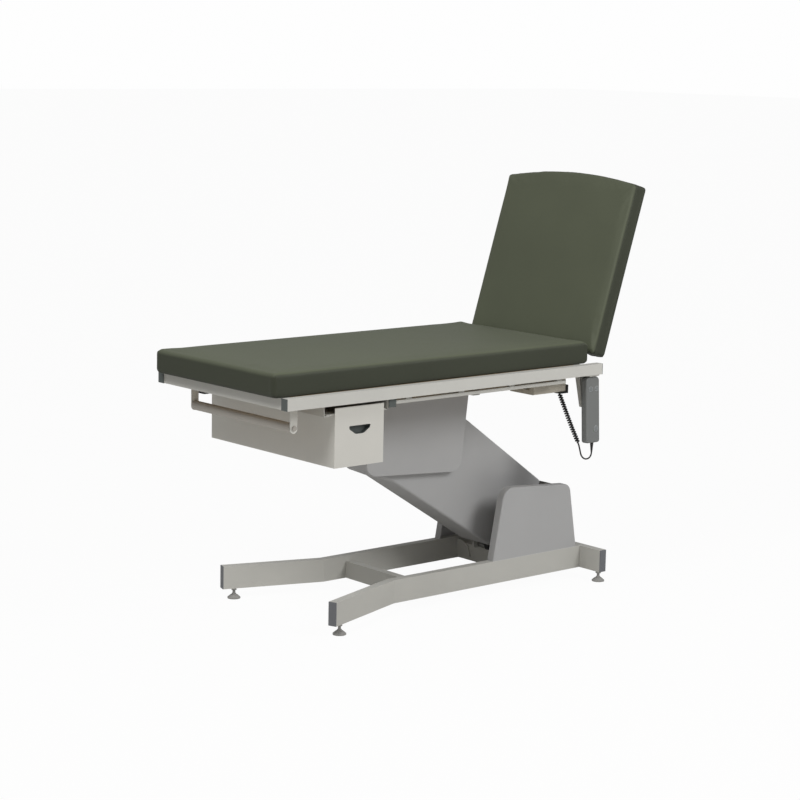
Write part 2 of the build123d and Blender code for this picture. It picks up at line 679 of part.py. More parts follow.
def drawer_box():
    """Folded sheet box, open at the top, with a flange along each side."""
    x, z = DRAWER_X, DRAWER_Z
    low = 743.0
    half = DRAWER_HALF
    box = block(x, (-half, half), (z[0], low))
    box -= block((x[0] + SHEET, x[1] - SHEET), (-half + SHEET, half - SHEET), (z[0] + SHEET, low + 9))
    box += block(x, (-half, -half + SHEET), (low, z[1]))
    slide = (738, 738 + SHEET)
    box += block((x[0] - 28, x[0]), (-half + 8, half - 8), slide)
    box += block((x[1], x[1] + 13), (-half + 8, half - 8), slide)
    return box - pull_outline(0, (-half - 1, -half + SHEET + 1))


def drawer_pull():
    """Moulded cup behind the half-moon opening of the drawer front."""
    back = -DRAWER_HALF + SHEET
    cup = pull_outline(5, (back, back + 20))
    return cup - pull_outline(0, (back - 1, back + 18))


# ----------------------------------------------------------------- backrest
def hinge_ears():
    """Fixed plates that reach up from the head cross rail to the backrest hinge."""
    foot = HEAD_RAIL_X + RAIL_WIDTH
    points = [(foot, 780), (1400, 780), (1474, 842), (1468, 873), (1434, 871), (1414, 808), (foot, 808)]
    ear = prism(points, [0, 24, 16, 14, 14, 6, 0], (HINGE_EAR_Y, HINGE_EAR_Y + HINGE_PLATE))
    return group(*both(ear - rod(HINGE_X, HINGE_Z, 6, (0, 400))))


def hinge_pins():
    pin_solid = rod(HINGE_X, HINGE_Z, 6, (HINGE_EAR_Y - 4, 257))
    head = rod(HINGE_X, HINGE_Z, 9, (HINGE_EAR_Y - 7, HINGE_EAR_Y - 4))
    return group(*both(pin_solid + head))


def back_plate():
    """Moving hinge plate, drawn flat."""
    points = [(1436, 838), (1436, 866), (1463, 868), (1514, 826), (1514, 811), (1590, 811),
              (1590, 793), (1508, 793)]
    plate = prism(points, [10, 10, 10, 4, 0, 0, 0, 12], (247, 253))
    return plate - rod(HINGE_X, HINGE_Z, 6 + SHAFT_CLEARANCE, (0, 400))


def lever_point(radius, side=0.0):
    """A point on the spring lever, with the backrest drawn flat."""
    angle = math.radians(-90 - BACK_ANGLE / 2)
    dx, dz = math.cos(angle), math.sin(angle)
    return HINGE_X + dx * radius + dz * side, HINGE_Z + dz * radius - dx * side


def spring_lever():
    """Slotted lever that the gas spring's cross pin pushes, drawn flat."""
    near, far = SLOT_RADII
    points = [lever_point(near - 4, 22), lever_point(far + 21, 22), lever_point(far + 21, -22),
              (1560, 793), (1560, 809)]
    plate = prism(points, [14, 20, 20, 0, 0], (9, 14))
    return plate - link_bar(lever_point(near), lever_point(far), SLOT_WIDTH / 2, (0, 20))


def back_frame():
    """Two side tubes, two cross tubes, hinge plates and the spring's lever."""
    z = (791, 811)
    side = tube((1516, 1980), (253, 283), z, along=0)
    frame = side + mirror_y(side)
    for x in (1560, 1950):
        frame += tube((x, x + BACK_TUBE), (-253, 253), z, along=1)
    frame += back_plate() + mirror_y(back_plate())
    return raised(frame + spring_lever() + mirror_y(spring_lever()))


def back_outline(inset, start, side, rise):
    """Plan of the pad or its board, with an arched head end."""
    half = PAD_HALF_WIDTH - inset
    end = BACK_PAD_FOOT_X + side
    line = Polyline((end, -half), (start, -half), (start, half), (end, half))
    arch = ThreePointArc((end, half), (end + rise, 0), (end, -half))
    return make_face([line, arch])


def back_pad():
    bottom = PAD_TOP - BACK_PAD_THICKNESS
    face = back_outline(0, BACK_PAD_FOOT_X, BACK_PAD_SIDE, BACK_PAD_RISE)
    pad = Pos(0, 0, bottom) * extrude(face, amount=BACK_PAD_THICKNESS)
    pad = fillet(pad.edges().filter_by(Axis.Z), 14)
    pad = fillet(pad.faces().sort_by(Axis.Z)[-1].edges(), 9)
    for y in ((226, 267), (-267, -226)):
        pad -= block((BACK_PAD_FOOT_X - 5, 1520), y, (bottom - 1, 879))
    return raised(pad)


def back_board():
    bottom = PAD_TOP - BACK_PAD_THICKNESS - BACK_BOARD_THICKNESS
    face = back_outline(32, BACK_BOARD_X[0], BACK_PAD_SIDE - 32, BACK_PAD_RISE - 3)
    return raised(Pos(0, 0, bottom) * extrude(face, amount=BACK_BOARD_THICKNESS))


def spring_pin_x():
    """Where the spring's cross pin stands while the backrest is raised."""
    return HINGE_X + (HINGE_Z - SPRING_Z) * math.tan(math.radians(BACK_ANGLE / 2))


def spring_line(radius, start, end):
    return Pos(0, 0, SPRING_Z) * along_x(radius, start, end)


def spring_cylinder():
    """Gas spring cylinder in two saddle clamps under the cross rails."""
    solid = spring_line(11, 1106, 1334) - spring_line(4.1, 1130, 1340)
    for x in ((1112, 1132), (HEAD_RAIL_X, HEAD_RAIL_X + 14)):
        solid += block(x, (-17, 17), (SPRING_Z - 15, RAIL_BOTTOM)) - spring_line(8, *x)
    return solid - spring_line(4.1, 1130, 1400)


def spring_rod():
    """Polished rod with a cross pin that runs in the lever's slots."""
    x = spring_pin_x()
    solid = spring_line(4.05, 1334 - 40, x - 4) + rod(x, SPRING_Z, 11, (-7, 7))
    solid += rod(x, SPRING_Z, 7, (-18, 18))
    washer = rod(x, SPRING_Z, 13, (15, 18))
    return solid + washer + mirror_y(washer)


# -------------------------------------------------------------------- write
def nodes():
    """Every named part of the table."""
    parts = {
        "base_side_tube_near": mirror_y(side_tube()),
        "base_side_tube_far": side_tube(),
        "base_head_tube": head_tube(),
        "base_foot_crossbar": foot_crossbar(),
        "base_end_caps": base_end_caps(),
        "pivot_beam": pivot_beam(),
        "pivot_brackets": pivot_brackets(),
        "base_pivot_pins": base_pivot_pins(),
        "base_cover_near": base_shell(NEAR_SHELL_X),
        "base_cover_far": mirror_y(base_shell(FAR_SHELL_X)),
        "base_cover_rear": base_rear_cover(),
        "foot_nuts": foot_nuts(),
        "lift_arm": lift_arm(),
        "guide_arm": guide_arm(),
        "arm_cover": arm_cover(),
        "lift_actuator_body": actuator_body(),
        "lift_actuator_motor": actuator_motor(),
        "lift_actuator_rod": actuator_rod(),
        "main_rail_near": main_rail(),
        "main_rail_far": mirror_y(main_rail()),
        "end_cross_rails": group(cross_rail(44), cross_rail(HEAD_RAIL_X)),
        "board_cross_rails": board_cross_rails(),
        "frame_end_caps": frame_end_caps(),
        "sub_rails": sub_rails(),
        "sub_frame": sub_frame(),
        "carriage_plates": carriage_plates(),
        "carriage_pins": carriage_pins(),
        "upper_cover_near": upper_cover(),
        "upper_cover_far": mirror_y(upper_cover()),
        "seat_board": seat_board(),
        "seat_pad": seat_pad(),
        "drawer_runner_foot": drawer_runner(205, 1, 26),
        "drawer_runner_head": drawer_runner(466, -1, 16),
        "paper_brackets": paper_brackets(),
        "paper_bar": paper_bar(),
        "supply_box": supply_box(),
        "control_box": control_box(),
        "handset_socket": handset_socket(),
        "handset_holder": handset_holder(),
        "handset_front": handset_front(),
        "handset_back": handset_back(),
        "handset_strain_relief": strain_relief(),
        "handset_cord": cord_tube(CORD_POINTS, CORD_DIAMETER),
        "handset_curly_cord": cord_tube(CURL_POINTS, CURL_DIAMETER),
        "drawer_box": drawer_box(),
        "drawer_pull": drawer_pull(),
        "back_hinge_ears": hinge_ears(),
        "back_hinge_pins": hinge_pins(),
        "back_frame": back_frame(),
        "back_board": back_board(),
        "back_pad": back_pad(),
        "gas_spring_cylinder": spring_cylinder(),
        "gas_spring_rod": spring_rod(),
    }
    for name, (x, y) in zip(("near_foot", "far_foot", "near_head", "far_head"), FOOT_CENTRES):
        parts["levelling_foot_" + name] = levelling_foot(x, y)
    for name, site in zip(("up", "down", "lock"), button_sites()):
        parts["button_" + name] = button(site)
    return parts


def write(parts):
    os.makedirs("parts", exist_ok=True)
    for name, shape in parts.items():
        export_step(Pos(-MID_X, 0, 0) * shape, "parts/" + name + ".step")
    low = min(shape.bounding_box().min.X for shape in parts.values())
    high = max(shape.bounding_box().max.X for shape in parts.values())
    print(len(parts), "parts, X from", round(low, 2), "to", round(high, 2), "middle",
          round((low + high) / 2, 2))


write(nodes())
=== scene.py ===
"""Looks of a height-adjustable medical exam table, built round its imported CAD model."""

import json
import math

import bmesh
import bpy
from mathutils import Matrix, Vector


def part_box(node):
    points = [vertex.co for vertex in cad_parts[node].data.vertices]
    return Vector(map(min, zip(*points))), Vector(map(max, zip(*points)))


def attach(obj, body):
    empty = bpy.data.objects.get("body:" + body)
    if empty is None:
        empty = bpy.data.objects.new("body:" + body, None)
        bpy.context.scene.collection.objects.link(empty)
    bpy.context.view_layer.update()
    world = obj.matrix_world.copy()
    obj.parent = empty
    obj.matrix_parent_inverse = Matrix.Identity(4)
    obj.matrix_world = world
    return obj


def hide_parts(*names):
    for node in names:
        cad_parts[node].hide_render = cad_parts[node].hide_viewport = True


MM = 0.001
MID_X = 834.6

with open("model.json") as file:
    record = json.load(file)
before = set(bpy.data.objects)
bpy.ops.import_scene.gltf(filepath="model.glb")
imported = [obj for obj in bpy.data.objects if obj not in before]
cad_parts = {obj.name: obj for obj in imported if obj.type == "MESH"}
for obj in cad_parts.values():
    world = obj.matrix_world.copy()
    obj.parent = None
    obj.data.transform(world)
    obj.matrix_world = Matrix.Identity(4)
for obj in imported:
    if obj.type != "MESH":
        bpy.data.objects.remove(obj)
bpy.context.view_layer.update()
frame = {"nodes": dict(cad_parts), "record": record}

# Camera: place in the design's own millimetres, then its three turns in degrees
CAMERA_PLACE = (-4046.7, -5684.1, 1922.5)
CAMERA_YAW, CAMERA_DIP, CAMERA_ROLL = 40.461, 9.370, 1.0764
CAMERA_LENS, CAMERA_SENSOR = 98.56, 36.0

# Backrest hinge
HINGE = (1450.0, 0.0, 853.0)
BACK_ANGLE = 72.5

# Pads
PAD_VOXEL = {"seat_pad": 0.0095, "back_pad": 0.007}
SEAT_HEAD_ROUND = 0.034
COVER_SWELL = 0.0045
COVER_STEPS = 20
HELD_HEIGHT = 0.004
# One cover all over: its colour is multiplied by this on the upright sides, to look shaded
SIDE_PAINTED_SHADE = (166, 167, 166)
SEAM_HALF_WIDTH, SEAM_DEPTH = 0.004, 0.0022
TUCK_HALF_WIDTH, TUCK_DEPTH = 0.006, 0.003

# Handset, drawn with the top of its front at its own origin
HANDSET_PLACE = (1398.5, -341.0, 764.0)
HANDSET_TILT = 3.0
BUTTON_SITES = [(-10.5, -43.0, 7.0, 7.0), (17.5, -43.0, 7.0, 7.0), (13.5, -184.0, 6.5, 9.5)]
LAMP_SITE = (2.0, -192.0)
RIM_SECTION = [(0.6, -0.4), (0.6, 0.5), (1.0, 0.9), (1.7, 0.9), (2.2, 0.4), (2.2, -0.4)]
RIM_SIDES = 48
LAMP_DOME = [(1.95, -1.0), (1.95, 0.1), (1.5, 0.45), (0.8, 0.65), (0.2, 0.7)]

# Stage: white that the camera sees (share, strength), and each lamp's place and power
FLOOR_WHITE, SKY_WHITE = (0.96, 1.0), (1.0, 0.99)
SKY_STRENGTH, FLOOR_SIZE = 0.30, 60
NEAR_KEY, FOOT_KEY = ((1.4, -3.6, 3.0), (0, 0, 0.6), 1.8, 80), ((-3.2, -1.0, 4.0), (0, 0, 0.8), 1.8, 100)

# Curly cord: the coiled run's route, then the thin run up to the handset
CORD_DIAMETER = 0.0055
COIL_RADIUS = 0.00575
COIL_PITCH = 0.0086
POINTS_PER_TURN = 18
COILED_ROUTE = [
    (1314, -262, 702), (1321, -274, 667), (1331, -286, 627), (1343, -298, 585),
    (1352, -310, 552), (1358, -320, 527),
]
THIN_ROUTE = [
    (1361, -324, 508), (1366, -328, 480), (1385, -333, 468), (1404, -340, 479),
    (1404, -340, 497),
]
SLEEVE_RIBS, SLEEVE_RIB_SHARE = 7, 0.62
SLEEVE_GROOVE, SLEEVE_TOP_RADIUS = 0.0006, 6.2 * MM


def at(x, y, z):
    """A point in metres from the design's millimetres."""
    return Vector(((x - MID_X) * MM, y * MM, z * MM))


def paint(red, green, blue):
    """A linear colour from 0 to 255 display values."""
    linear = [((v / 255 + 0.055) / 1.055) ** 2.4 if v > 10 else v / 3294.6 for v in (red, green, blue)]
    return (*linear, 1.0)


# ------------------------------------------------------------ shader groups
def add(tree, kind, inputs=None, **settings):
    """A new node, with its settings and its sockets' values or links."""
    made = tree.nodes.new(kind)
    for key, value in settings.items():
        setattr(made, key, value)
    for key, value in (inputs or {}).items():
        if isinstance(value, bpy.types.NodeSocket):
            tree.links.new(value, made.inputs[key])
        else:
            made.inputs[key].default_value = value
    return made


def math_node(tree, operation, first, second=0.0, clamp=False):
    return add(tree, "ShaderNodeMath", {0: first, 1: second}, operation=operation,
               use_clamp=clamp).outputs[0]


def spread(tree, value, low, high, start=0.3, end=0.7):
    """A mask's middle range stretched to run from low to high."""
    return add(tree, "ShaderNodeMapRange", {
        "Value": value, "From Min": start, "From Max": end, "To Min": low, "To Max": high,
    }).outputs["Result"]


def mix_colour(tree, factor, first, second, blend="MIX"):
    made = add(tree, "ShaderNodeMix", data_type="RGBA", blend_type=blend)
    for index, value in ((0, factor), (6, first), (7, second)):
        if isinstance(value, bpy.types.NodeSocket):
            tree.links.new(value, made.inputs[index])
        else:
            made.inputs[index].default_value = value
    return made.outputs[2]


def new_group(name, inputs, outputs):
    """An empty shader group with named inputs (kind, default) and named outputs."""
    tree = bpy.data.node_groups.new(name, "ShaderNodeTree")
    for key, (kind, default) in inputs.items():
        socket = tree.interface.new_socket(key, in_out="INPUT", socket_type="NodeSocket" + kind)
        if default is not None:
            socket.default_value = default
    for key, kind in outputs.items():
        tree.interface.new_socket(key, in_out="OUTPUT", socket_type="NodeSocket" + kind)
    return tree, tree.nodes.new("NodeGroupInput").outputs, tree.nodes.new("NodeGroupOutput").inputs


def per_size(tree, size):
    """The texture scale for features of a size in metres."""
    return math_node(tree, "DIVIDE", 1.0, size)


def moulded_finish_group():
    """Paint or plastic: slow tone drift, an orange-peel grain and uneven gloss."""
    tree, given, out = new_group("moulded_finish", {
        "Coordinate": ("Vector", None), "Colour": ("Color", (0.5, 0.5, 0.5, 1)),
        "Drift": ("Float", 0.05), "Drift Size": ("Float", 0.2),
        "Grain Size": ("Float", 0.002), "Roughness": ("Float", 0.5), "Gloss Drift": ("Float", 0.1),
    }, {"Colour": "Color", "Roughness": "Float", "Height": "Float"})
    where = given["Coordinate"]
    slow = add(tree, "ShaderNodeTexNoise", {
        "Vector": where, "Scale": per_size(tree, given["Drift Size"]), "Detail": 3.0})
    grain = add(tree, "ShaderNodeTexNoise", {
        "Vector": where, "Scale": per_size(tree, given["Grain Size"]), "Detail": 2.0})
    shade = math_node(tree, "MULTIPLY", given["Drift"], spread(tree, slow.outputs[0], -1.0, 1.0))
    bright = math_node(tree, "ADD", 1.0, shade)
    tone = add(tree, "ShaderNodeCombineColor", {"Red": bright, "Green": bright, "Blue": bright})
    tree.links.new(mix_colour(tree, 1.0, given["Colour"], tone.outputs[0], "MULTIPLY"), out["Colour"])
    fine = math_node(tree, "SUBTRACT", grain.outputs[0], 0.5)
    uneven = math_node(tree, "ADD", math_node(tree, "SUBTRACT", slow.outputs[0], 0.5), fine)
    gloss = math_node(tree, "MULTIPLY", uneven, given["Gloss Drift"])
    tree.links.new(math_node(tree, "ADD", given["Roughness"], gloss, clamp=True), out["Roughness"])
    tree.links.new(grain.outputs[0], out["Height"])
    return tree


def edge_highlight_group():
    """A mask that is 1 along outer edges, broken up by noise, that places a painted highlight."""
    tree, given, out = new_group("edge_painted_highlight", {
        "Coordinate": ("Vector", None), "Width": ("Float", 0.002), "Amount": ("Float", 0.5),
    }, {"Mask": "Float"})
    round_edge = add(tree, "ShaderNodeBevel", {"Radius": given["Width"]}, samples=4)
    true_face = add(tree, "ShaderNodeNewGeometry")
    turn = add(tree, "ShaderNodeVectorMath", operation="DOT_PRODUCT")
    tree.links.new(round_edge.outputs[0], turn.inputs[0])
    tree.links.new(true_face.outputs["True Normal"], turn.inputs[1])
    edge = spread(tree, turn.outputs["Value"], 1.0, 0.0, 0.80, 0.99)
    breaks = add(tree, "ShaderNodeTexNoise", {"Vector": given["Coordinate"], "Scale": 60.0})
    patchy = math_node(tree, "MULTIPLY", edge, spread(tree, breaks.outputs[0], 0.65, 1.0))
    tree.links.new(math_node(tree, "MULTIPLY", patchy, given["Amount"], clamp=True), out["Mask"])
    return tree


def vinyl_grain_group():
    """Upholstery vinyl: pebbled cells, fine pores and slow shade drift."""
    tree, given, out = new_group("vinyl_grain", {
        "Coordinate": ("Vector", None), "Colour": ("Color", (0.1, 0.12, 0.08, 1)),
        "Pebble Size": ("Float", 0.0018), "Roughness": ("Float", 0.5),
    }, {"Colour": "Color", "Roughness": "Float", "Height": "Float"})
    where = given["Coordinate"]
    scale = per_size(tree, given["Pebble Size"])
    cells = add(tree, "ShaderNodeTexVoronoi", {"Vector": where, "Scale": scale},
                feature="DISTANCE_TO_EDGE")
    pores = add(tree, "ShaderNodeTexNoise", {
        "Vector": where, "Scale": math_node(tree, "MULTIPLY", scale, 2.7), "Detail": 3.0})
    drift = add(tree, "ShaderNodeTexNoise", {"Vector": where, "Scale": 4.0, "Detail": 4.0})
    groove = spread(tree, cells.outputs["Distance"], 0.0, 1.0, 0.0, 0.25)
    bright = math_node(tree, "ADD", spread(tree, drift.outputs[0], 0.94, 1.05),
                       math_node(tree, "MULTIPLY", groove, 0.05))
    tone = add(tree, "ShaderNodeCombineColor", {"Red": bright, "Green": bright, "Blue": bright})
    tree.links.new(mix_colour(tree, 1.0, given["Colour"], tone.outputs[0], "MULTIPLY"), out["Colour"])
    dull = math_node(tree, "MULTIPLY", math_node(tree, "SUBTRACT", drift.outputs[0], 0.5), 0.25)
    tree.links.new(math_node(tree, "ADD", given["Roughness"], dull, clamp=True), out["Roughness"])
    tree.links.new(math_node(tree, "ADD", groove,
                             math_node(tree, "MULTIPLY", pores.outputs[0], 0.5)), out["Height"])
    return tree


def brushed_group():
    """Metal with fine lines: noise stretched along one axis by its scale."""
    tree, given, out = new_group("brushed_lines", {
        "Coordinate": ("Vector", None), "Stretch": ("Vector", (20.0, 900.0, 900.0)),
        "Roughness": ("Float", 0.3),
    }, {"Roughness": "Float", "Height": "Float"})
    pulled = add(tree, "ShaderNodeMapping", {
        "Vector": given["Coordinate"], "Scale": given["Stretch"]})
    lines = add(tree, "ShaderNodeTexNoise", {"Vector": pulled.outputs[0], "Scale": 1.0, "Detail": 2.0})
    tree.links.new(math_node(tree, "ADD", given["Roughness"], spread(
        tree, lines.outputs[0], -0.08, 0.10)), out["Roughness"])
    tree.links.new(lines.outputs[0], out["Height"])
    return tree


def plywood_group():
    """Birch faces with long grain that runs across the table."""
    tree, given, out = new_group("birch_ply", {
        "Coordinate": ("Vector", None), "Light": ("Color", paint(205, 178, 135)),
        "Dark": ("Color", paint(180, 149, 108)),
    }, {"Colour": "Color", "Height": "Float"})
    pulled = add(tree, "ShaderNodeMapping", {
        "Vector": given["Coordinate"], "Scale": (34.0, 1.6, 34.0)})
    grain = add(tree, "ShaderNodeTexNoise", {
        "Vector": pulled.outputs[0], "Scale": 2.2, "Detail": 6.0, "Distortion": 0.8})
    figure = spread(tree, grain.outputs[0], 0.0, 1.0, 0.35, 0.68)
    tree.links.new(mix_colour(tree, figure, given["Dark"], given["Light"]), out["Colour"])
    tree.links.new(figure, out["Height"])
    return tree


GROUPS = {
    "finish": moulded_finish_group(), "painted_highlight": edge_highlight_group(), "vinyl": vinyl_grain_group(),
    "brushed": brushed_group(), "ply": plywood_group(),
}


# ---------------------------------------------------------------- materials
def new_material(name):
    """An empty material: its tree, its Principled shader and its coordinate."""
    made = bpy.data.materials.new(name)
    made.use_nodes = True
    tree = made.node_tree
    shader = tree.nodes["Principled BSDF"]
    where = add(tree, "ShaderNodeTexCoord").outputs["Object"]
    return made, tree, shader, where


def use_group(tree, key, inputs):
    made = tree.nodes.new("ShaderNodeGroup")
    made.node_tree = GROUPS[key]
    for name, value in inputs.items():
        if isinstance(value, bpy.types.NodeSocket):
            tree.links.new(value, made.inputs[name])
        else:
            made.inputs[name].default_value = value
    return made.outputs


def bump(tree, shader, height, depth, strength=1.0):
    made = add(tree, "ShaderNodeBump", {"Strength": strength, "Distance": depth, "Height": height})
    tree.links.new(made.outputs[0], shader.inputs["Normal"])


def coated(name, colour, rough, grain=0.0016, depth=0.00004, drift=0.03, painted_highlight=None, coat=0.0):
    """A painted or moulded surface. The edge highlight is (edge colour, width, amount): a lighter colour
    along the outer edges, a painted highlight.
    """
    made, tree, shader, where = new_material(name)
    finish = use_group(tree, "finish", {
        "Coordinate": where, "Colour": colour, "Drift": drift, "Grain Size": grain,
        "Roughness": rough, "Gloss Drift": 0.12})
    shade = finish["Colour"]
    # Painted highlight: the lighter edge colour is mixed in along the outer edges
    if painted_highlight:
        edge = use_group(tree, "painted_highlight", {"Coordinate": where, "Width": painted_highlight[1], "Amount": painted_highlight[2]})
        shade = mix_colour(tree, edge["Mask"], shade, painted_highlight[0])
    tree.links.new(shade, shader.inputs["Base Color"])
    tree.links.new(finish["Roughness"], shader.inputs["Roughness"])
    shader.inputs["Coat Weight"].default_value = coat
    bump(tree, shader, finish["Height"], depth)
    return made


def vinyl(name, colour, rough):
    """Pad cover; the piece's crease attribute darkens its seams and corner tucks as painted shade in
    those creases, and its upright sides are darkened as painted shade too.
    """
    made, tree, shader, where = new_material(name)
    grain = use_group(tree, "vinyl", {"Coordinate": where, "Colour": colour, "Roughness": rough})
    crease = add(tree, "ShaderNodeAttribute", attribute_name="crease").outputs["Fac"]
    seam = add(tree, "ShaderNodeCombineColor", {"Red": 0.45, "Green": 0.45, "Blue": 0.45})
    # Painted shade: the cover's colour is darkened on the upright sides
    painted_side_shade = add(tree, "ShaderNodeAttribute", attribute_name="painted_side_shade").outputs["Fac"]
    side = mix_colour(tree, 1.0, grain["Colour"], paint(*SIDE_PAINTED_SHADE), "MULTIPLY")
    cover = mix_colour(tree, painted_side_shade, grain["Colour"], side)
    # Painted shade in the seams and bottom tuck: the crease mark darkens the colour there
    dark = mix_colour(tree, 1.0, cover, seam.outputs[0], "MULTIPLY")
    tree.links.new(mix_colour(tree, crease, cover, dark), shader.inputs["Base Color"])
    tree.links.new(grain["Roughness"], shader.inputs["Roughness"])
    shader.inputs["Specular IOR Level"].default_value = 0.28
    shader.inputs["Sheen Weight"].default_value = 0.05
    shader.inputs["Sheen Roughness"].default_value = 0.6
    height = math_node(tree, "SUBTRACT", math_node(tree, "MULTIPLY", grain["Height"], 0.12),
                       math_node(tree, "MULTIPLY", crease, 1.0))
    bump(tree, shader, height, 0.0008)
    return made


def metal(name, colour, rough, stretch=(900.0, 20.0, 900.0), depth=0.00001):
    made, tree, shader, where = new_material(name)
    lines = use_group(tree, "brushed", {"Coordinate": where, "Stretch": stretch, "Roughness": rough})
    shader.inputs["Base Color"].default_value = colour
    shader.inputs["Metallic"].default_value = 1.0
    tree.links.new(lines["Roughness"], shader.inputs["Roughness"])
    bump(tree, shader, lines["Height"], depth)
    return made


def plywood(name):
    made, tree, shader, where = new_material(name)
    sheet = use_group(tree, "ply", {"Coordinate": where})
    tree.links.new(sheet["Colour"], shader.inputs["Base Color"])
    shader.inputs["Roughness"].default_value = 0.6
    bump(tree, shader, sheet["Height"], 0.0001)
    return made


# The lighter edge colours in these materials are painted highlights along outer edges
EDGE_HIGHLIGHT = paint(225, 226, 226)
MATERIALS = {
    "base_paint": coated("base_powder_coat", paint(194, 193, 187), 0.42,
                         painted_highlight=(paint(222, 220, 212), 0.002, 0.5)),
    "rail_paint": coated("rail_powder_coat", paint(207, 206, 200), 0.40,
                         painted_highlight=(paint(238, 236, 230), 0.002, 0.5)),
    "drawer_paint": coated("drawer_powder_coat", paint(216, 214, 207), 0.42,
                           painted_highlight=(paint(236, 234, 226), 0.002, 0.6)),
    "cover_grey": coated("textured_cover_grey", paint(178, 178, 178), 0.55, grain=0.0011,
                         depth=0.00008, drift=0.02, painted_highlight=(EDGE_HIGHLIGHT, 0.004, 0.7)),
    "cap_blue_grey": coated("cap_blue_grey", paint(112, 114, 118), 0.5, depth=0.00006),
    "cap_dark": coated("cap_dark_grey", paint(88, 94, 92), 0.5, depth=0.00006),
    "foot_plastic": coated("foot_grey_nylon", paint(154, 153, 150), 0.5, depth=0.00006),
    "steel": metal("zinc_steel", paint(168, 168, 166), 0.34),
    "chrome": metal("polished_rod", paint(205, 205, 207), 0.10, depth=0.000003),
    "black_metal": coated("black_lacquer", paint(28, 28, 29), 0.35, coat=0.2),
    "pad_olive": vinyl("olive_vinyl", paint(92, 97, 78), 0.55),
    "plywood": plywood("birch_plywood"),
    "bracket_white": coated("bracket_white", paint(226, 225, 218), 0.42, painted_highlight=(EDGE_HIGHLIGHT, 0.002, 0.4)),
    "bar_white": coated("bar_white", paint(182, 177, 169), 0.38),
    "box_beige": coated("control_box_beige", paint(196, 190, 176), 0.5, depth=0.00007),
    "black_plastic": coated("black_plastic", paint(30, 30, 31), 0.5, depth=0.00006),
    "handset_grey": coated("handset_grey", paint(121, 123, 122), 0.52, grain=0.0008,
                           depth=0.00006, painted_highlight=(paint(168, 172, 174), 0.0012, 0.5)),
    "button_grey": coated("button_grey", paint(128, 132, 133), 0.45, grain=0.0007),
    "cord_rubber": coated("cord_black", paint(30, 29, 29), 0.42, grain=0.0006, depth=0.00003),
}


def dress_nodes():
    """Give every CAD node the finish of its material slot."""
    for row in frame["record"]["subparts"]:
        for held in frame["nodes"][row["node"]].material_slots:
            held.material = MATERIALS[row["material_slot"]]


def finish_piece(piece, body, slot):
    """Put a new piece on its body, in its slot's material."""
    piece.data.materials.clear()
    piece.data.materials.append(MATERIALS[slot])
    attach(piece, body)
    return piece


def new_piece(name, mesh):
    piece = bpy.data.objects.new(name, mesh)
    bpy.context.scene.collection.objects.link(piece)
    return piece


def only_select(piece):
    bpy.ops.object.select_all(action="DESELECT")
    piece.select_set(True)
    bpy.context.view_layer.objects.active = piece


# --------------------------------------------------------------------- pads
def pad_turn(node):
    """The turn that lays a pad flat about the backrest hinge, and its way back."""
    if node == "seat_pad":
        return Matrix.Identity(4), Matrix.Identity(4)
    place = Matrix.Translation(at(*HINGE))
    flat = place @ Matrix.Rotation(math.radians(BACK_ANGLE), 4, "Y") @ place.inverted()
    return flat, flat.inverted()


def remeshed_pad(node, name):
    """A merged copy of a pad's plain solid, laid flat and evenly meshed."""
    source = frame["nodes"][node]
    mesh = source.data.copy()
    mesh.name = name
    piece = new_piece(name, mesh)
    work = bmesh.new()
    work.from_mesh(mesh)
    bmesh.ops.remove_doubles(work, verts=work.verts, dist=0.00002)
    work.transform(pad_turn(node)[0])
    work.to_mesh(mesh)
    work.free()
    only_select(piece)
    remesh = piece.modifiers.new("even", "REMESH")
    remesh.mode, remesh.voxel_size, remesh.adaptivity = "VOXEL", PAD_VOXEL[node], 0.0
    bpy.ops.object.modifier_apply(modifier=remesh.name)
    return piece


def shape_foam(piece, node, low, high):
    """Draw the foam in a little, so its cover can swell, and round the seat's head end."""
    shrink = COVER_SWELL * 0.8
    centre = (low + high) / 2
    for vertex in piece.data.vertices:
        p = vertex.co
        for axis in (0, 1):
            half = (high[axis] - low[axis]) / 2
            p[axis] = centre[axis] + (p[axis] - centre[axis]) * (half - shrink) / half
        p.z = low.z + (p.z - low.z) * (high.z - low.z - shrink) / (high.z - low.z)
        if node == "seat_pad":
            round_end(p, high.x - shrink, high.z - shrink)


def round_end(p, end_x, top_z):
    """Pull a point in to a quarter circle along the head end's top edge."""
    dx, dz = p.x - (end_x - SEAT_HEAD_ROUND), p.z - (top_z - SEAT_HEAD_ROUND)
    reach = math.hypot(dx, dz)
    if dx > 0 and dz > 0 and reach > SEAT_HEAD_ROUND:
        p.x += dx * (SEAT_HEAD_ROUND / reach - 1)
        p.z += dz * (SEAT_HEAD_ROUND / reach - 1)


def swell(piece, low):
    """Blow the cover out over the foam by cloth simulation, held along its flat bottom."""
    before = [vertex.co.copy() for vertex in piece.data.vertices]
    held = piece.vertex_groups.new(name="held")
    held.add([v.index for v in piece.data.vertices if v.co.z < low.z + HELD_HEIGHT], 1.0, "REPLACE")
    cloth = piece.modifiers.new("cover", "CLOTH")
    settings = cloth.settings
    settings.quality = 6
    settings.mass = 0.4
    settings.tension_stiffness = settings.compression_stiffness = 30.0
    settings.shear_stiffness, settings.bending_stiffness = 20.0, 6.0
    settings.use_pressure, settings.uniform_pressure_force = True, 4.0
    settings.effector_weights.gravity = 0.0
    settings.vertex_group_mass = "held"
    cloth.collision_settings.use_collision = False
    scene = bpy.context.scene
    for number in range(1, COVER_STEPS + 1):
        scene.frame_set(number)
    done = piece.evaluated_get(bpy.context.evaluated_depsgraph_get())
    after = [vertex.co.copy() for vertex in done.data.vertices]
    piece.modifiers.remove(cloth)
    scene.frame_set(1)
    for vertex, old, new in zip(piece.data.vertices, before, after):
        move = new - old
        if move.length > COVER_SWELL:
            move *= COVER_SWELL / move.length
        vertex.co = old + move
        vertex.co.z = max(vertex.co.z, low.z)


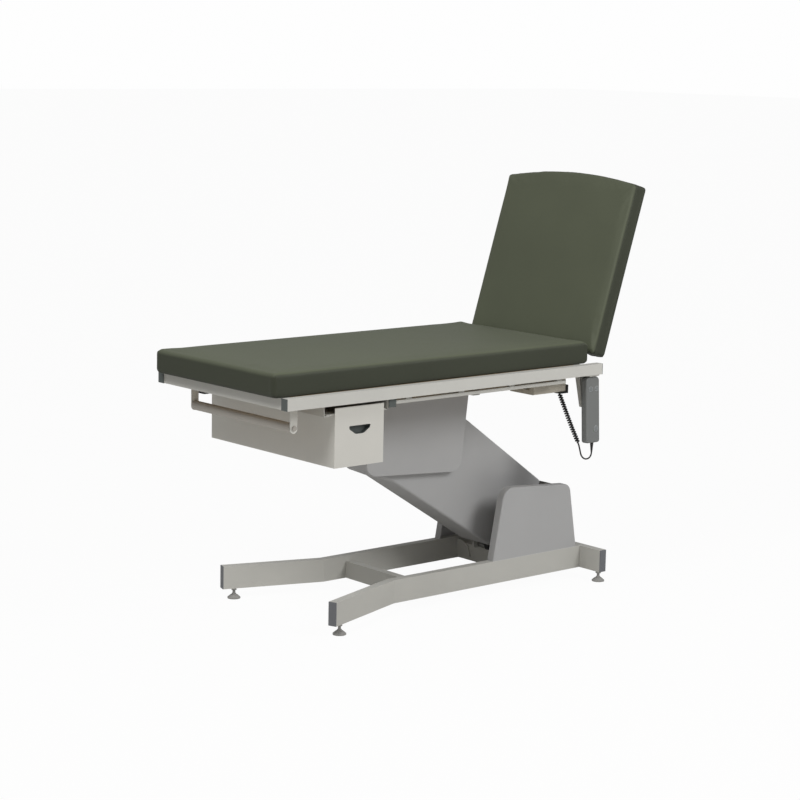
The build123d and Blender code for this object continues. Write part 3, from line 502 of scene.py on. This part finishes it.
def corner_seams(piece, low, high):
    """Mark and pinch the corner seams and the tuck, whose mark darkens them as painted shade, and mark
    the upright sides for painted shade.
    """
    crease = piece.data.attributes.new("crease", "FLOAT", "POINT")
    painted_side_shade = piece.data.attributes.new("painted_side_shade", "FLOAT", "POINT")
    upright = [vertex.normal.z for vertex in piece.data.vertices]
    painted_side_shade.data.foreach_set("value", [min(1.0, max(0.0, (0.75 - z) / 0.3)) for z in upright])
    values = []
    for vertex in piece.data.vertices:
        p = vertex.co
        out_x = min(abs(p.x - low.x), abs(p.x - high.x))
        out_y = min(abs(p.y - low.y), abs(p.y - high.y))
        seam = math.exp(-((out_x - out_y) / SEAM_HALF_WIDTH) ** 2) if max(out_x, out_y) < 0.012 else 0.0
        tuck = math.exp(-((p.z - low.z) / TUCK_HALF_WIDTH) ** 2) if min(out_x, out_y) < 0.02 else 0.0
        # The crease mark paints shade into the seams and the bottom tuck
        values.append(min(1.0, 0.8 * seam + 0.5 * tuck))
        inward = Vector(((low.x + high.x) / 2 - p.x, (low.y + high.y) / 2 - p.y, 0)).normalized()
        vertex.co += inward * (SEAM_DEPTH * seam + TUCK_DEPTH * tuck)
    crease.data.foreach_set("value", values)


def cushion(node, name, body):
    """Upholstered pad that stands for a plain CAD solid."""
    piece = remeshed_pad(node, name)
    corners = [v.co for v in piece.data.vertices]
    low = Vector([min(c[i] for c in corners) for i in range(3)])
    high = Vector([max(c[i] for c in corners) for i in range(3)])
    shape_foam(piece, node, low, high)
    swell(piece, low)
    corner_seams(piece, low, high)
    smooth = piece.modifiers.new("smooth", "SUBSURF")
    smooth.levels = smooth.render_levels = 1
    only_select(piece)
    bpy.ops.object.modifier_apply(modifier=smooth.name)
    piece.data.transform(pad_turn(node)[1])
    piece.data.polygons.foreach_set("use_smooth", [True] * len(piece.data.polygons))
    piece.vertex_groups.clear()
    finish_piece(piece, body, "pad_olive")
    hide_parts(node)
    return piece


# --------------------------------------------------------------------- cord
def spline_line(points, fineness=24):
    """Points along a smooth NURBS line through a route, in metres."""
    data = bpy.data.curves.new("route", "CURVE")
    data.dimensions = "3D"
    data.resolution_u = fineness
    spline = data.splines.new("NURBS")
    spline.points.add(len(points) - 1)
    for held, point in zip(spline.points, points):
        held.co = (*at(*point), 1.0)
    spline.order_u = 3
    spline.use_endpoint_u = True
    route = new_piece("route", data)
    bpy.context.view_layer.update()
    mesh = bpy.data.meshes.new_from_object(route.evaluated_get(
        bpy.context.evaluated_depsgraph_get()))
    line = [vertex.co.copy() for vertex in mesh.vertices]
    bpy.data.objects.remove(route)
    bpy.data.meshes.remove(mesh)
    return line


def measured(line):
    """The distance along a line of points at each of them."""
    total = [0.0]
    for one, two in zip(line, line[1:]):
        total.append(total[-1] + (two - one).length)
    return total


def along(line, total, distance):
    """The point and direction at a distance along a line."""
    index = 1
    while index < len(line) - 1 and total[index] < distance:
        index += 1
    span = max(total[index] - total[index - 1], 1e-9)
    part = min(max((distance - total[index - 1]) / span, 0.0), 1.0)
    return line[index - 1].lerp(line[index], part), (line[index] - line[index - 1]).normalized()


def ease(value):
    value = min(max(value, 0.0), 1.0)
    return value * value * (3 - 2 * value)


def curly_line(line, coiled):
    """The wire's own centreline: a helix for the coiled length, then the plain line."""
    total = measured(line)
    step = COIL_PITCH / POINTS_PER_TURN
    side = Vector((1, 0, 0))
    points = []
    for index in range(int(total[-1] / step) + 1):
        here, forward = along(line, total, min(index * step, total[-1]))
        side = (side - forward * side.dot(forward)).normalized()
        across = forward.cross(side)
        distance = index * step
        radius = COIL_RADIUS * ease(distance / 0.006) * ease((coiled - distance) / 0.010)
        turn = 2 * math.pi * distance / COIL_PITCH
        points.append(here + (side * math.cos(turn) + across * math.sin(turn)) * radius)
    points[-1] = line[-1]
    return points


def round_tube(name, line, radius, sides=12):
    """A closed round tube along a line of points."""
    work = bmesh.new()
    side = Vector((0, 1, 0))
    rings = []
    for index, here in enumerate(line):
        before, after = line[max(index - 1, 0)], line[min(index + 1, len(line) - 1)]
        forward = (after - before).normalized()
        side = (side - forward * side.dot(forward)).normalized()
        across = forward.cross(side)
        rings.append([work.verts.new(here + (side * math.cos(a) + across * math.sin(a)) * radius)
                      for a in (2 * math.pi * k / sides for k in range(sides))])
    for one, two in zip(rings, rings[1:]):
        for k in range(sides):
            work.faces.new((one[k], one[(k + 1) % sides], two[(k + 1) % sides], two[k]))
    work.faces.new(rings[0][::-1])
    work.faces.new(rings[-1])
    return closed_piece(name, work)


def closed_piece(name, work, smooth=True):
    """A piece from finished mesh work, with its faces turned outwards."""
    bmesh.ops.recalc_face_normals(work, faces=work.faces)
    mesh = bpy.data.meshes.new(name)
    work.to_mesh(mesh)
    work.free()
    mesh.polygons.foreach_set("use_smooth", [smooth] * len(mesh.polygons))
    return new_piece(name, mesh)


def lathe(name, profile, place, sides=32, smooth=True):
    """A closed turned shape: profile is (radius, height) from bottom to top, about local Z."""
    work = bmesh.new()
    rings = [[work.verts.new(place @ Vector((r * math.cos(a), r * math.sin(a), h)))
              for a in (2 * math.pi * k / sides for k in range(sides))] for r, h in profile]
    for one, two in zip(rings, rings[1:]):
        for k in range(sides):
            work.faces.new((one[k], one[(k + 1) % sides], two[(k + 1) % sides], two[k]))
    work.faces.new(rings[0][::-1])
    work.faces.new(rings[-1])
    return closed_piece(name, work, smooth)


def handset_lead():
    """Curly cord from the control unit, its thin tail and the sleeve at the handset."""
    line = spline_line(COILED_ROUTE + THIN_ROUTE)
    coiled = measured(spline_line(COILED_ROUTE))[-1]
    wire = curly_line(line, coiled)
    cord = round_tube("curly_cord", wire, CORD_DIAMETER / 2)
    finish_piece(cord, "table_top", "cord_rubber")
    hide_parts("handset_cord", "handset_curly_cord")
    sleeve = strain_sleeve()


def sleeve_radius(part):
    """The sleeve's rib radius at a part of its height, from the thin end up."""
    return (3.5 + 3.0 * part) * MM


def strain_sleeve():
    """Ribbed, tapered sleeve under the handset."""
    low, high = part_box("handset_strain_relief")
    centre = at(*THIN_ROUTE[-1])
    length = high.z - low.z
    profile = []
    for rib in range(SLEEVE_RIBS):
        start, end = rib / SLEEVE_RIBS, (rib + SLEEVE_RIB_SHARE) / SLEEVE_RIBS
        profile += [(sleeve_radius(start) - SLEEVE_GROOVE, length * start),
                    (sleeve_radius(start), length * (start + 0.01)),
                    (sleeve_radius(end), length * (end - 0.01)),
                    (sleeve_radius(end) - SLEEVE_GROOVE, length * end)]
    profile.append((SLEEVE_TOP_RADIUS, length))
    sleeve = lathe("cord_sleeve", profile, Matrix.Translation((centre.x, centre.y, low.z)))
    finish_piece(sleeve, "table_top", "cord_rubber")
    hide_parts("handset_strain_relief")
    return sleeve


# ------------------------------------------------------------------ handset
def on_handset(x, z, lift=0.0):
    """A place on the handset's front, with local Z pointing out of it."""
    place = Matrix.Translation(at(*HANDSET_PLACE))
    tilt = Matrix.Rotation(math.radians(-HANDSET_TILT), 4, "X")
    local = Matrix.Translation((x * MM, -lift * MM, z * MM)) @ Matrix.Rotation(math.pi / 2, 4, "X")
    return place @ tilt @ local


def button_ring(name, x, z, half_wide, half_high):
    """Raised pale rim round a button."""
    place = on_handset(x, z)
    work = bmesh.new()
    section = RIM_SECTION
    rings = []
    for k in range(RIM_SIDES):
        a = 2 * math.pi * k / RIM_SIDES
        rings.append([work.verts.new(place @ Vector((
            (half_wide + out) * math.cos(a) * MM, (half_high + out) * math.sin(a) * MM, up * MM)))
            for out, up in section])
    for k in range(RIM_SIDES):
        one, two = rings[k], rings[(k + 1) % RIM_SIDES]
        for j in range(len(section)):
            work.faces.new((one[j], one[(j + 1) % len(section)],
                            two[(j + 1) % len(section)], two[j]))
    ring = closed_piece(name, work)
    finish_piece(ring, "table_top", "button_grey")
    ring.data.materials[0] = MATERIALS["ring_pale"]


def handset_details():
    MATERIALS["ring_pale"] = coated("handset_rim", paint(176, 180, 181), 0.45)
    MATERIALS["lamp_green"] = coated("lamp_lens", paint(108, 128, 104), 0.2, coat=0.5)
    for name, site in zip(("rim_up", "rim_down", "rim_lock"), BUTTON_SITES):
        button_ring(name, *site)
    lamp = lathe("lamp_lens", [(r * MM, h * MM) for r, h in LAMP_DOME], on_handset(*LAMP_SITE), 24)
    finish_piece(lamp, "table_top", "button_grey")
    lamp.data.materials[0] = MATERIALS["lamp_green"]


# ------------------------------------------------------------------- screws
def screw_tree():
    """Geometry Nodes: a socket-head screw on every point, turned by the given Turn."""
    tree = bpy.data.node_groups.new("socket_screws", "GeometryNodeTree")
    face = tree.interface
    face.new_socket("Geometry", in_out="INPUT", socket_type="NodeSocketGeometry")
    for name, value in (("Head Radius", 0.005), ("Head Height", 0.003), ("Socket Radius", 0.0024)):
        face.new_socket(name, in_out="INPUT", socket_type="NodeSocketFloat").default_value = value
    face.new_socket("Turn", in_out="INPUT", socket_type="NodeSocketVector")
    face.new_socket("Finish", in_out="INPUT", socket_type="NodeSocketMaterial")
    face.new_socket("Geometry", in_out="OUTPUT", socket_type="NodeSocketGeometry")
    given = tree.nodes.new("NodeGroupInput").outputs
    out = tree.nodes.new("NodeGroupOutput").inputs
    head = add(tree, "GeometryNodeMeshCone", {
        "Vertices": 24, "Radius Bottom": given["Head Radius"], "Depth": given["Head Height"]})
    narrow = add(tree, "ShaderNodeMath", {0: given["Head Radius"], 1: 0.72}, operation="MULTIPLY")
    tree.links.new(narrow.outputs[0], head.inputs["Radius Top"])
    socket = add(tree, "GeometryNodeMeshCylinder", {
        "Vertices": 6, "Radius": given["Socket Radius"], "Depth": given["Head Height"]})
    depth = add(tree, "ShaderNodeMath", {0: given["Head Height"], 1: 0.9}, operation="MULTIPLY")
    lift = add(tree, "ShaderNodeCombineXYZ", {"Z": depth.outputs[0]})
    raised = add(tree, "GeometryNodeTransform", {
        "Geometry": socket.outputs["Mesh"], "Translation": lift.outputs[0]})
    cut = add(tree, "GeometryNodeMeshBoolean", operation="DIFFERENCE")
    tree.links.new(head.outputs["Mesh"], cut.inputs["Mesh 1"])
    tree.links.new(raised.outputs[0], cut.inputs["Mesh 2"])
    copies = add(tree, "GeometryNodeInstanceOnPoints", {
        "Points": given["Geometry"], "Instance": cut.outputs["Mesh"], "Rotation": given["Turn"]})
    real = add(tree, "GeometryNodeRealizeInstances", {"Geometry": copies.outputs[0]})
    dressed = add(tree, "GeometryNodeSetMaterial", {
        "Geometry": real.outputs[0], "Material": given["Finish"]})
    tree.links.new(dressed.outputs[0], out["Geometry"])
    return tree


def screws(tree, name, body, points, turn, radius=5.0, slot="steel"):
    """One piece that holds a screw head at each point (design millimetres)."""
    mesh = bpy.data.meshes.new(name)
    mesh.from_pydata([at(*p) for p in points], [], [])
    seed = new_piece(name + "_points", mesh)
    maker = seed.modifiers.new("screws", "NODES")
    maker.node_group = tree
    values = {"Head Radius": radius * MM, "Head Height": radius * 0.6 * MM,
              "Socket Radius": radius * 0.45 * MM, "Turn": turn, "Finish": MATERIALS[slot]}
    for item in tree.interface.items_tree:
        if item.in_out == "INPUT" and item.name in values:
            maker[item.identifier] = values[item.name]
    bpy.context.view_layer.update()
    made = bpy.data.meshes.new_from_object(seed.evaluated_get(
        bpy.context.evaluated_depsgraph_get()))
    made.name = name
    bpy.data.objects.remove(seed)
    finish_piece(new_piece(name, made), body, slot)


def all_screws():
    """Screws that hold boards, covers, runners, plates and brackets."""
    tree = screw_tree()
    down, head_end = (math.pi, 0, 0), (0, math.pi / 2, 0)
    screws(tree, "board_screws", "table_top",
           [(x, y, 798.2) for x in (98, 190, 520, 650, 930, 1060, 1240) for y in (-300, 300)], down)
    screws(tree, "runner_screws", "table_top",
           [(x, y, 770.2) for x in (222, 457) for y in (-327, 327)], down, 4.0)
    screws(tree, "holder_screws", "table_top", [(1384, -340, 767.2), (1384, -328, 767.2)], down, 4.0)
    screws(tree, "control_box_screws", "table_top",
           [(x, y, 708.2) for x in (1190, 1296) for y in (-258, -162)], down, 3.0)
    screws(tree, "upper_cover_screws", "table_top",
           [(x, y, 739.2) for x in (590, 700, 845) for y in (-80, 80)], down, 3.5)
    screws(tree, "rear_cover_screws", "base",
           [(1478.0, y, 133) for y in (-150, 0, 150)], head_end, 4.5)
    screws(tree, "crossbar_screws", "base", [(727, y, 37.2) for y in (-150, 150)], down, 6.0)
    flat_back = [(x, y, 791.2) for x in (1575, 1965) for y in (-200, 0, 200)]
    raise_back = pad_turn("back_pad")[1]
    turned = []
    for point in flat_back:
        moved = raise_back @ at(*point)
        turned.append((moved.x / MM + MID_X, moved.y / MM, moved.z / MM))
    screws(tree, "back_frame_screws", "backrest", turned,
           (math.pi, math.radians(-BACK_ANGLE), 0), 5.0)


# ------------------------------------------------------------ stage and view
def make_camera():
    yaw, dip, roll = (math.radians(v) for v in (CAMERA_YAW, CAMERA_DIP, CAMERA_ROLL))
    forward = Vector((math.sin(yaw) * math.cos(dip), math.cos(yaw) * math.cos(dip), -math.sin(dip)))
    right = forward.cross(Vector((0, 0, 1))).normalized()
    up = right.cross(forward)
    turned_right = right * math.cos(roll) + up * math.sin(roll)
    turned_up = up * math.cos(roll) - right * math.sin(roll)
    data = bpy.data.cameras.new("view")
    data.lens, data.sensor_width = CAMERA_LENS, CAMERA_SENSOR
    data.clip_end = 100.0
    camera = bpy.data.objects.new("view", data)
    bpy.context.scene.collection.objects.link(camera)
    turn = Matrix((turned_right, turned_up, -forward)).transposed().to_4x4()
    camera.matrix_world = Matrix.Translation(at(*CAMERA_PLACE)) @ turn
    bpy.context.scene.camera = camera


def area_light(name, place, target, size, power, colour=(1, 1, 1)):
    data = bpy.data.lights.new(name, "AREA")
    data.shape, data.size, data.energy, data.color = "DISK", size, power, colour
    lamp = bpy.data.objects.new(name, data)
    lamp.location = place
    lamp.rotation_euler = (Vector(target) - Vector(place)).to_track_quat("-Z", "Y").to_euler()
    bpy.context.scene.collection.objects.link(lamp)


def shown_white(tree, plain, share, strength):
    """A shader that the camera sees mixed with even white, and light sees as it is."""
    seen = add(tree, "ShaderNodeLightPath").outputs["Is Camera Ray"]
    white = add(tree, "ShaderNodeEmission", {"Strength": strength})
    mixed = add(tree, "ShaderNodeMixShader")
    tree.links.new(math_node(tree, "MULTIPLY", seen, share), mixed.inputs[0])
    tree.links.new(plain, mixed.inputs[1])
    tree.links.new(white.outputs[0], mixed.inputs[2])
    return mixed.outputs[0]


def studio():
    """Pale floor, even surroundings, and soft lights from above the near side and foot end."""
    work = bmesh.new()
    bmesh.ops.create_grid(work, x_segments=2, y_segments=2, size=FLOOR_SIZE)
    mesh = bpy.data.meshes.new("floor")
    work.to_mesh(mesh)
    work.free()
    floor = new_piece("floor", mesh)
    pale = bpy.data.materials.new("floor_pale")
    pale.use_nodes = True
    tree = pale.node_tree
    shader = tree.nodes["Principled BSDF"]
    shader.inputs["Base Color"].default_value = (0.70, 0.69, 0.67, 1)
    shader.inputs["Roughness"].default_value = 0.9
    tree.links.new(shown_white(tree, shader.outputs[0], *FLOOR_WHITE),
                   tree.nodes["Material Output"].inputs["Surface"])
    mesh.materials.append(pale)
    world = bpy.data.worlds.new("studio")
    world.use_nodes = True
    tree = world.node_tree
    sky = tree.nodes["Background"]
    sky.inputs["Color"].default_value = (1, 1, 1, 1)
    sky.inputs["Strength"].default_value = SKY_STRENGTH
    tree.links.new(shown_white(tree, sky.outputs[0], *SKY_WHITE),
                   tree.nodes["World Output"].inputs["Surface"])
    bpy.context.scene.world = world
    area_light("near_key", *NEAR_KEY)
    area_light("foot_key", *FOOT_KEY)
    bpy.context.scene.view_settings.view_transform = "Standard"


dress_nodes()
cushion("seat_pad", "seat_cushion", "table_top")
cushion("back_pad", "back_cushion", "backrest")
handset_lead()
handset_details()
all_screws()
studio()
make_camera()
